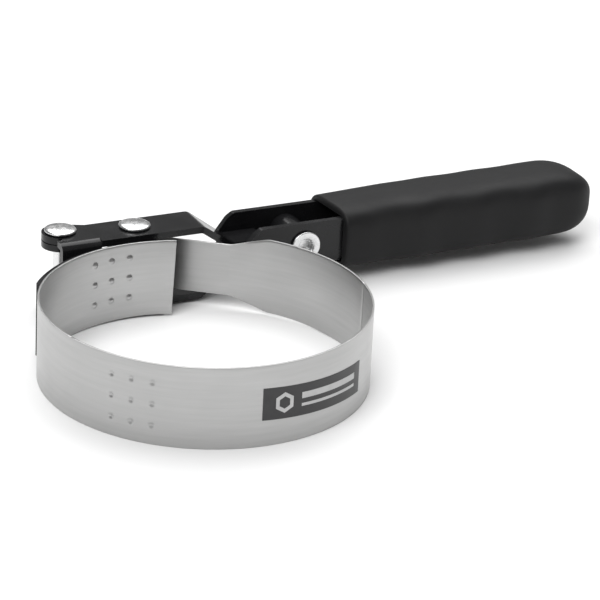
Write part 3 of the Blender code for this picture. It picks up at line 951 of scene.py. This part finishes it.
@dataclass
class Label:
    """A dark foil label on the front of the ring, with a plain mark in place of any name."""

    strap: Strap
    start_deg: float = 265.1
    end_deg: float = 310.0
    start_low: float = -4.4 * MM
    end_low: float = -6.2 * MM
    height: float = 9.9 * MM
    glue: float = 0.01 * MM
    lift: float = 0.06 * MM
    mark_lift: float = 0.05 * MM
    step_deg: float = 1.0
    hex_deg: float = 273.0
    hex_radius: float = 3.2 * MM
    hex_wall: float = 1.1 * MM
    bar_start_deg: float = 279.6
    bar_end_deg: float = 306.0
    upper_bar: tuple[float, float] = (5.3 * MM, 7.2 * MM)
    lower_bar: tuple[float, float] = (2.9 * MM, 3.8 * MM)

    def outer(self) -> float:
        """Radius of the strap's outer face."""
        return self.strap.ring_radius + self.strap.thickness / 2

    def level(self, degrees: float) -> float:
        """Height of the label's lower edge at this angle: it is stuck on a little askew."""
        share = (degrees - self.start_deg) / (self.end_deg - self.start_deg)
        return self.start_low + (self.end_low - self.start_low) * share

    def patch(
        self, start_deg: float, end_deg: float, low: float, high: float, base: float, lift: float
    ) -> bmesh.types.BMesh:
        """A thin curved strip on the strap.

        Args:
            start_deg: Where it starts round the ring.
            end_deg: Where it ends.
            low: Its lower edge, above the label's own.
            high: Its upper edge, above the label's lower one.
            base: Radius of its inner face.
            lift: Its thickness.

        Returns:
            The closed mesh.
        """
        shape = bmesh.new()
        foot = polar(ORIGIN, base, start_deg)
        ends = [shape.verts.new(foot + UP * level) for level in (low, high)]
        edge = shape.edges.new(ends)
        turn = end_deg - start_deg
        bmesh.ops.spin(
            shape, geom=[*ends, edge], cent=(0, 0, 0), axis=UP, dvec=(0, 0, 0),
            angle=math.radians(turn), steps=max(2, round(turn / self.step_deg)),
            use_merge=False, use_duplicate=False,
        )
        self.raise_patch(shape, lift)
        return shape

    def raise_patch(self, shape: bmesh.types.BMesh, lift: float) -> None:
        """Thickens a curved sheet outward and sets it at the label's slant.

        Args:
            shape: The sheet, on a round wall about the origin.
            lift: Its thickness.
        """
        grown = bmesh.ops.extrude_face_region(shape, geom=shape.faces[:])
        moved = [item for item in grown["geom"] if isinstance(item, bmesh.types.BMVert)]
        for vertex in moved:
            flat = Vector((vertex.co.x, vertex.co.y, 0.0))
            vertex.co += flat.normalized() * lift
        bmesh.ops.recalc_face_normals(shape, faces=shape.faces)
        for vertex in shape.verts:
            angle = math.degrees(math.atan2(vertex.co.y, vertex.co.x)) % FULL_TURN
            vertex.co.z += self.level(angle)

    def hexagon(self, base: float, lift: float) -> bmesh.types.BMesh:
        """A plain six-sided ring, wrapped on the strap.

        Args:
            base: Radius of its inner face.
            lift: Its thickness.

        Returns:
            The closed mesh.
        """
        shape = bmesh.new()
        bmesh.ops.create_circle(shape, cap_ends=True, segments=6, radius=self.hex_radius)
        rim = bmesh.ops.inset_region(
            shape, faces=shape.faces[:], thickness=self.hex_wall,
            use_boundary=True, use_even_offset=True,
        )["faces"]
        middle = [face for face in shape.faces if face not in rim]
        bmesh.ops.delete(shape, geom=middle, context="FACES")
        bmesh.ops.subdivide_edges(shape, edges=shape.edges[:], cuts=3, use_grid_fill=True)
        for vertex in shape.verts:
            angle = self.hex_deg + math.degrees(vertex.co.x / self.outer())
            height = vertex.co.y + self.height / 2
            vertex.co = polar(ORIGIN, base, angle) + UP * height
        self.raise_patch(shape, lift)
        return shape

    def build(self, ground: bpy.types.Material, ink: bpy.types.Material) -> None:
        """Builds the foil and its mark.

        Args:
            ground: Finish of the foil.
            ink: Finish of the mark.
        """
        base = self.outer() + self.glue
        foil = self.patch(self.start_deg, self.end_deg, 0.0, self.height, base, self.lift)
        self.attach("label_foil", foil, ground)
        top = base + self.lift
        self.attach("label_mark_hexagon", self.hexagon(top, self.mark_lift), ink)
        for side, (low, high) in (("upper", self.upper_bar), ("lower", self.lower_bar)):
            bar = self.patch(self.bar_start_deg, self.bar_end_deg, low, high, top, self.mark_lift)
            self.attach(f"label_mark_bar_{side}", bar, ink)

    def attach(
        self, name: str, shape: bmesh.types.BMesh, material: bpy.types.Material
    ) -> None:
        """Finishes one printed piece and bakes it into its place on the strap.

        Args:
            name: The piece's name.
            shape: Its mesh, about the ring's centre.
            material: Its finish.
        """
        bmesh.ops.translate(shape, verts=shape.verts, vec=self.strap.place)
        made = finished(name, shape, material)
        self.strap.bend_front(made)


# --------------------------------------------------------------------------- folded steel


@dataclass
class FoldedSteel:
    """The painted sheet parts, taken from their CAD nodes with their cut edges rounded."""

    edge_round: float = 0.2 * MM
    weld: float = 0.002 * MM
    flat_deg: float = 0.8
    corner_deg: float = 38.0

    def softened(self, node: str, body: Body, paint: bpy.types.Material) -> bpy.types.Object:
        """Rebuilds one CAD node with rounded edges.

        Args:
            node: The CAD node's name.
            body: The body that it rides on.
            paint: Its finish.

        Returns:
            The new piece.
        """
        shape = bmesh.new()
        shape.from_mesh(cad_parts[node].data)
        bmesh.ops.remove_doubles(shape, verts=shape.verts, dist=self.weld)
        bmesh.ops.dissolve_limit(
            shape, angle_limit=math.radians(self.flat_deg), verts=shape.verts[:],
            edges=shape.edges[:], use_dissolve_boundaries=False,
        )
        made = finished(f"{node}_painted", shape, paint, crease_deg=self.corner_deg)
        rounding = made.modifiers.new("rounded_edges", "BEVEL")
        rounding.width = self.edge_round
        rounding.segments = 2
        rounding.limit_method = "ANGLE"
        rounding.angle_limit = math.radians(self.corner_deg)
        rounding.harden_normals = True
        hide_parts(node)
        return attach(made, body.value)

    def build(self, paint: bpy.types.Material) -> None:
        """Builds the shoe, the yoke and the handle's channel.

        Args:
            paint: Their finish.
        """
        self.softened("shoe", Body.BAND, paint)
        self.softened("yoke", Body.YOKE, paint)
        self.softened("handle_channel", Body.HANDLE, paint)


# --------------------------------------------------------------------------- rivets


@dataclass
class LinkRivet:
    """A round-headed rivet through both plates of the yoke."""

    node: str
    head_radius: float = 4.9 * MM
    head_rim: float = 0.45 * MM
    head_height: float = 1.35 * MM
    shank_radius: float = 2.15 * MM
    tail_radius: float = 4.1 * MM
    tail_height: float = 0.6 * MM
    tail_rim_share: float = 0.5
    tail_face_share: float = 0.8
    edge_round: float = 0.15 * MM
    steps: int = 64

    def profile(self, top: float, bottom: float) -> Profile:
        """The rivet's outline.

        Args:
            top: Height of the head's middle.
            bottom: Height of the formed end.

        Returns:
            Radius and height of each corner, from the head down to the formed end.
        """
        seat = top - self.head_height
        foot = bottom + self.tail_height
        return [
            *dome(self.head_radius, seat + self.head_rim, self.head_height - self.head_rim),
            (self.head_radius, seat),
            (self.shank_radius, seat),
            (self.shank_radius, foot),
            (self.tail_radius, foot),
            (self.tail_radius, foot - self.tail_height * self.tail_rim_share),
            (self.tail_radius * self.tail_face_share, bottom),
            (0.0, bottom),
        ]

    def build(self, zinc: bpy.types.Material) -> bpy.types.Object:
        """Builds the rivet where its CAD node stands.

        Args:
            zinc: Its finish.

        Returns:
            The piece.
        """
        low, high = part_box(self.node)
        shape = spun_profile(self.profile(high.z, low.z), self.steps)
        bevelled(shape, self.edge_round, segments=3, angle_deg=50.0)
        middle = (low + high) / 2
        bmesh.ops.translate(shape, verts=shape.verts, vec=(middle.x, middle.y, 0.0))
        made = finished(f"{self.node}_plated", shape, zinc, crease_deg=35.0)
        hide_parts(self.node)
        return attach(made, Body.YOKE.value)


@dataclass
class SwivelRivet:
    """The semi-tubular rivet that the handle swivels on: rolled rim near, dome far."""

    node: str = "swivel_rivet"
    flange_radius: float = 4.95 * MM
    flange_height: float = 0.8 * MM
    shank_radius: float = 2.9 * MM
    flange_round: float = 0.35 * MM
    hole_radius: float = 2.4 * MM
    hole_flare: float = 0.6 * MM
    flare_waist: tuple[float, float] = (0.3, 0.35)
    hole_depth: float = 3.0 * MM
    head_height: float = 1.8 * MM
    head_rim: float = 0.6 * MM
    bend_steps: int = 6
    steps: int = 64

    def profile(self, near: float, far: float) -> Profile:
        """The rivet's outline, from the dome to the hole.

        Args:
            near: Where the rolled rim ends.
            far: Where the dome ends.

        Returns:
            Radius and distance along the axis of each corner, far end first.
        """
        seat = far - self.head_height
        root = near + self.flange_height
        bend = self.flange_round
        angles = [math.pi / 2 * step / self.bend_steps for step in range(self.bend_steps + 1)]
        waist, depth = self.flare_waist
        rolled = [
            (
                self.flange_radius - bend * (1.0 - math.cos(angle)),
                near + bend * (1.0 - math.sin(angle)),
            )
            for angle in angles
        ]
        return [
            *dome(self.flange_radius, seat + self.head_rim, self.head_height - self.head_rim),
            (self.flange_radius, seat),
            (self.shank_radius, seat),
            (self.shank_radius, root),
            (self.flange_radius, root),
            *rolled,
            (self.hole_radius + self.hole_flare, near),
            (self.hole_radius + self.hole_flare * waist, near + self.hole_flare * depth),
            (self.hole_radius, near + self.hole_flare),
            (self.hole_radius, near + self.hole_depth),
            (0.0, near + self.hole_depth),
        ]

    def build(self, zinc: bpy.types.Material) -> bpy.types.Object:
        """Builds the rivet where its CAD node stands, with its axis along Y.

        Args:
            zinc: Its finish.

        Returns:
            The piece.
        """
        low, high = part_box(self.node)
        half = (high.y - low.y) / 2
        shape = spun_profile(self.profile(-half, half), self.steps)
        middle = (low + high) / 2
        lying = Matrix.Rotation(-math.pi / 2, 3, "X")
        bmesh.ops.rotate(shape, verts=shape.verts, cent=(0, 0, 0), matrix=lying)
        bmesh.ops.translate(shape, verts=shape.verts, vec=middle)
        made = finished(f"{self.node}_plated", shape, zinc, crease_deg=40.0)
        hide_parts(self.node)
        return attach(made, Body.HANDLE.value)


# --------------------------------------------------------------------------- grip


@dataclass
class Grip:
    """The moulded grip: a rounded bar with shallow finger recesses and a closed nose."""

    place: Vector
    start: float = 67.4 * MM
    end: float = 163.4 * MM
    axis_y: float = 57.9 * MM
    axis_z: float = 1.3 * MM
    collar_half_width: float = 11.8 * MM
    collar_half_height: float = 10.0 * MM
    half_width: float = 12.5 * MM
    half_height: float = 10.6 * MM
    swell_share: float = 0.3
    nose: float = 16.0 * MM
    nose_power: float = 2.2
    tip_share: float = 0.12
    tip_shrinks: tuple[float, float] = (0.6, 0.15)
    squareness: float = 0.52
    rise: float = 1.0 * MM
    slant: float = 1.2 * MM
    slant_share: float = 0.16
    first_finger: float = 86.5 * MM
    finger_pitch: float = 20.2 * MM
    fingers: int = 4
    finger_depth: float = 1.1 * MM
    first_back: float = 98.5 * MM
    back_pitch: float = 17.6 * MM
    backs: int = 3
    back_depth: float = 0.7 * MM
    collar_round: float = 0.9 * MM
    pocket_half_width: float = 9.2 * MM
    pocket_half_height: float = 7.8 * MM
    pocket_depth: float = 80.9 * MM
    pocket_squareness: float = 0.16
    sides: int = 72
    step: float = 1.2 * MM
    collar_steps: int = 5
    nose_steps: int = 15

    def half_sizes(self, x: float) -> tuple[float, float]:
        """Half width and half height of the grip.

        Args:
            x: Distance along the handle.

        Returns:
            Both at that distance.
        """
        share = (x - self.start) / (self.end - self.start)
        swell = min(1.0, share / self.swell_share)
        width = self.collar_half_width + (self.half_width - self.collar_half_width) * swell
        height = self.collar_half_height + (self.half_height - self.collar_half_height) * swell
        left = self.end - x
        if left < self.nose:
            run = (self.nose - left) / self.nose
            closing = math.sqrt(max(0.0, 1.0 - run**self.nose_power))
            scale = self.tip_share + (1.0 - self.tip_share) * closing
            width *= scale
            height *= scale
        return width, height

    @staticmethod
    def dip(x: float, first: float, pitch: float, count: int, depth: float) -> float:
        """How far a row of shallow recesses draws the surface in at this place.

        Args:
            x: Distance along the handle.
            first: Middle of the first recess.
            pitch: Distance from one to the next.
            count: How many there are.
            depth: Depth at the middle of each.

        Returns:
            The depth here.
        """
        for i in range(count):
            away = (x - first - i * pitch) / (pitch / 2)
            if abs(away) < 1.0:
                return depth * (0.5 + 0.5 * math.cos(math.pi * away))
        return 0.0

    @staticmethod
    def squared(angle: float, power: float, width: float, height: float) -> tuple[float, float]:
        """A point of a rounded rectangle.

        Args:
            angle: Its angle.
            power: 1 for an ellipse, less for squarer corners.
            width: Half the rectangle's width.
            height: Half its height.

        Returns:
            The point's place across and up.
        """
        c, s = math.cos(angle), math.sin(angle)
        across = math.copysign(abs(c) ** power, c) * width
        return across, math.copysign(abs(s) ** power, s) * height

    def settle(
        self, ring: Iterable[bmesh.types.BMVert], turn: bmesh.types.BMLayerItem, x: float,
        inset: float = 0.0,
    ) -> None:
        """Moves one ring of vertices to its section of the grip.

        Args:
            ring: The vertices.
            turn: The layer that holds each vertex's angle.
            x: Distance along the handle.
            inset: How far the section is drawn in all round.
        """
        width, height = self.half_sizes(x)
        share = (x - self.start) / (self.end - self.start)
        fingers = self.dip(
            x, self.first_finger, self.finger_pitch, self.fingers, self.finger_depth
        )
        backs = self.dip(x, self.first_back, self.back_pitch, self.backs, self.back_depth)
        for vertex in ring:
            y, z = self.squared(vertex[turn], self.squareness, width - inset, height - inset)
            side = abs(math.cos(vertex[turn]))
            y += fingers * side if y < 0.0 else -backs * side
            lean = (1.0 - y / width) * self.slant * max(0.0, 1.0 - share / self.slant_share)
            vertex.co = Vector(
                (x + lean, self.axis_y + y, self.axis_z + z + self.rise * share)
            )

    def pocket(
        self, ring: Iterable[bmesh.types.BMVert], turn: bmesh.types.BMLayerItem, x: float
    ) -> None:
        """Moves one ring of vertices to the wall of the pocket that holds the channel.

        Args:
            ring: The vertices.
            turn: The layer that holds each vertex's angle.
            x: Distance along the handle.
        """
        for vertex in ring:
            y, z = self.squared(
                vertex[turn], self.pocket_squareness,
                self.pocket_half_width, self.pocket_half_height,
            )
            lean = (1.0 - y / self.half_width) * self.slant
            vertex.co = Vector((x + lean, self.axis_y + y, self.axis_z + z))

    @staticmethod
    def grow(
        shape: bmesh.types.BMesh, edges: Sequence[bmesh.types.BMEdge]
    ) -> tuple[list[bmesh.types.BMEdge], list[bmesh.types.BMVert]]:
        """Extrudes a loop of edges.

        Args:
            shape: The mesh.
            edges: The loop.

        Returns:
            The new edges and the new vertices.
        """
        grown = bmesh.ops.extrude_edge_only(shape, edges=edges)["geom"]
        return (
            [item for item in grown if isinstance(item, bmesh.types.BMEdge)],
            [item for item in grown if isinstance(item, bmesh.types.BMVert)],
        )

    def stations(self) -> list[tuple[float, float]]:
        """Where the sections stand, collar first.

        Returns:
            Distance along the handle and inset of each.
        """
        radius = self.collar_round
        found = []
        for step in range(1, self.collar_steps + 1):
            angle = math.pi / 2 * step / self.collar_steps
            back = radius * (1.0 - math.cos(angle))
            found.append((self.start + back, radius * (1.0 - math.sin(angle))))
        length = self.end - self.nose - self.start - radius
        count = round(length / self.step)
        for step in range(1, count + 1):
            found.append((self.start + radius + length * step / count, 0.0))
        for step in range(1, self.nose_steps + 1):
            left = 1.0 - math.sin(math.pi / 2 * step / self.nose_steps)
            found.append((self.end - self.nose * left, 0.0))
        return found

    def build(self, rubber: bpy.types.Material) -> bpy.types.Object:
        """Builds the grip as one closed skin, pocket included.

        Args:
            rubber: Its finish.

        Returns:
            The piece.
        """
        shape = bmesh.new()
        turn = shape.verts.layers.float.new("turn")
        circle = bmesh.ops.create_circle(shape, cap_ends=False, segments=self.sides, radius=1.0)
        ring = circle["verts"]
        for vertex in ring:
            vertex[turn] = math.atan2(vertex.co.y, vertex.co.x) + math.pi / self.sides
        collar = shape.edges[:]
        self.settle(ring, turn, self.start, self.collar_round)
        loop = collar
        for x, inset in self.stations():
            loop, ring = self.grow(shape, loop)
            self.settle(ring, turn, x, inset)
        for shrink in self.tip_shrinks:
            loop, ring = self.grow(shape, loop)
            middle = sum((vertex.co for vertex in ring), Vector()) / len(ring)
            for vertex in ring:
                vertex.co = middle + (vertex.co - middle) * shrink
        bmesh.ops.contextual_create(shape, geom=loop)
        inner, ring = self.grow(shape, collar)
        self.pocket(ring, turn, self.start)
        inner, ring = self.grow(shape, inner)
        self.pocket(ring, turn, self.start + self.pocket_depth - self.slant)
        bmesh.ops.contextual_create(shape, geom=inner)
        bmesh.ops.recalc_face_normals(shape, faces=shape.faces)
        bmesh.ops.translate(shape, verts=shape.verts, vec=self.place)
        made = finished("grip_moulded", shape, rubber, crease_deg=50.0)
        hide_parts("grip")
        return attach(made, Body.HANDLE.value)


# --------------------------------------------------------------------------- studio


@dataclass(frozen=True)
class Panel:
    """One square soft light that faces the object."""

    name: str
    place: tuple[float, float, float]
    size: float
    power: float

    def build(self) -> None:
        """Adds the light."""
        lamp = bpy.data.lights.new(self.name, "AREA")
        lamp.size = self.size
        lamp.energy = self.power
        made = bpy.data.objects.new(self.name, lamp)
        made.location = self.place
        towards = ORIGIN - Vector(self.place)
        made.rotation_euler = towards.to_track_quat("-Z", "Y").to_euler()
        bpy.context.scene.collection.objects.link(made)


@dataclass
class Studio:
    """A pale floor, soft light and the camera."""

    camera_place: Vector = Vector((-391.35, -726.75, 371.9)) * MM
    heading: tuple[float, float] = (0.454, 0.891)
    elevation_deg: float = 23.68
    roll_deg: float = 2.91
    lens: float = 177.76
    sensor: float = 36.0
    clip_start: float = 0.01
    floor_half: float = 6.0
    floor_drop: float = 0.05 * MM
    floor_dark: Colour = (0.86, 0.86, 0.86)
    floor_light: Colour = (0.88, 0.88, 0.88)
    world_strength: float = 0.26
    panels: tuple[Panel, ...] = (
        Panel("key_panel", (-1.3, -0.9, 1.9), size=1.6, power=42.0),
        Panel("top_panel", (0.5, 0.9, 2.0), size=2.2, power=48.0),
    )

    def build_floor(self) -> None:
        """Lays a wide pale floor just under the object."""
        graph = Graph("studio_floor")
        cloud = graph.noise(graph.place(), 3.0, detail=2.0)
        graph.drive("Base Color", graph.shaded(cloud, self.floor_dark, self.floor_light))
        graph.fix(Roughness=0.9, Specular_IOR_Level=0.1)
        shape = bmesh.new()
        bmesh.ops.create_grid(shape, x_segments=4, y_segments=4, size=self.floor_half)
        bmesh.ops.translate(shape, verts=shape.verts, vec=UP * -self.floor_drop)
        mesh = bpy.data.meshes.new("floor")
        shape.to_mesh(mesh)
        shape.free()
        mesh.materials.append(graph.material)
        floor = bpy.data.objects.new("floor", mesh)
        bpy.context.scene.collection.objects.link(floor)

    def build_light(self) -> None:
        """Lights the object from a white room and large soft panels."""
        world = bpy.data.worlds.new("studio_white")
        world.use_nodes = True
        ground = world.node_tree.nodes["Background"]
        ground.inputs["Color"].default_value = (1.0, 1.0, 1.0, 1.0)
        ground.inputs["Strength"].default_value = self.world_strength
        bpy.context.scene.world = world
        for panel in self.panels:
            panel.build()

    def build_camera(self) -> None:
        """Sets the camera up, level with the object's own view and slightly rolled."""
        rise, roll = math.radians(self.elevation_deg), math.radians(self.roll_deg)
        x, y = self.heading
        right = Vector((y, -x, 0.0)).normalized()
        ahead = Vector((x * math.cos(rise), y * math.cos(rise), -math.sin(rise))).normalized()
        above = right.cross(ahead).normalized()
        across = right * math.cos(roll) + above * math.sin(roll)
        upward = above * math.cos(roll) - right * math.sin(roll)
        turned = Matrix((across, upward, -ahead)).transposed().to_4x4()
        data = bpy.data.cameras.new("view")
        data.lens = self.lens
        data.sensor_width = self.sensor
        data.clip_start = self.clip_start
        camera = bpy.data.objects.new("view", data)
        camera.matrix_world = Matrix.Translation(self.camera_place) @ turned
        bpy.context.scene.collection.objects.link(camera)
        bpy.context.scene.camera = camera

    def build(self) -> None:
        """Builds the floor, the lights and the camera."""
        self.build_floor()
        self.build_light()
        self.build_camera()
        bpy.context.scene.view_settings.view_transform = "Standard"


def ring_centre() -> Vector:
    """Works out where the ring stands: it touches the CAD box at its left and at its front.

    Returns:
        Centre of the strap's ring in the frame, halfway up the strap.
    """
    sizes = Strap(ORIGIN)
    outer = sizes.ring_radius + sizes.thickness / 2
    low = CAD_BOX[0]
    return Vector((low.x + outer, low.y + outer, low.z + sizes.width / 2))


def main() -> None:
    """Builds the object piece by piece, then the studio."""
    logging.basicConfig(level=logging.INFO, format="%(name)s: %(message)s")
    centre = ring_centre()
    strap = Strap(centre)
    strap.build(BrushedSteel().material(centre))
    Label(strap).build(
        Finish("label_ground", dark=(0.022, 0.022, 0.023), light=(0.032, 0.032, 0.033)).material(),
        Finish("label_ink", dark=(0.50, 0.50, 0.50), light=(0.58, 0.58, 0.58)).material(),
    )
    FoldedSteel().build(GlossPaint().material())
    zinc = ZincPlate().material()
    LinkRivet("pivot_rivet").build(zinc)
    LinkRivet("anchor_rivet").build(zinc)
    SwivelRivet().build(zinc)
    Grip(centre).build(SoftGrip().material())
    Studio().build()


if __name__ == "__main__":
    main()
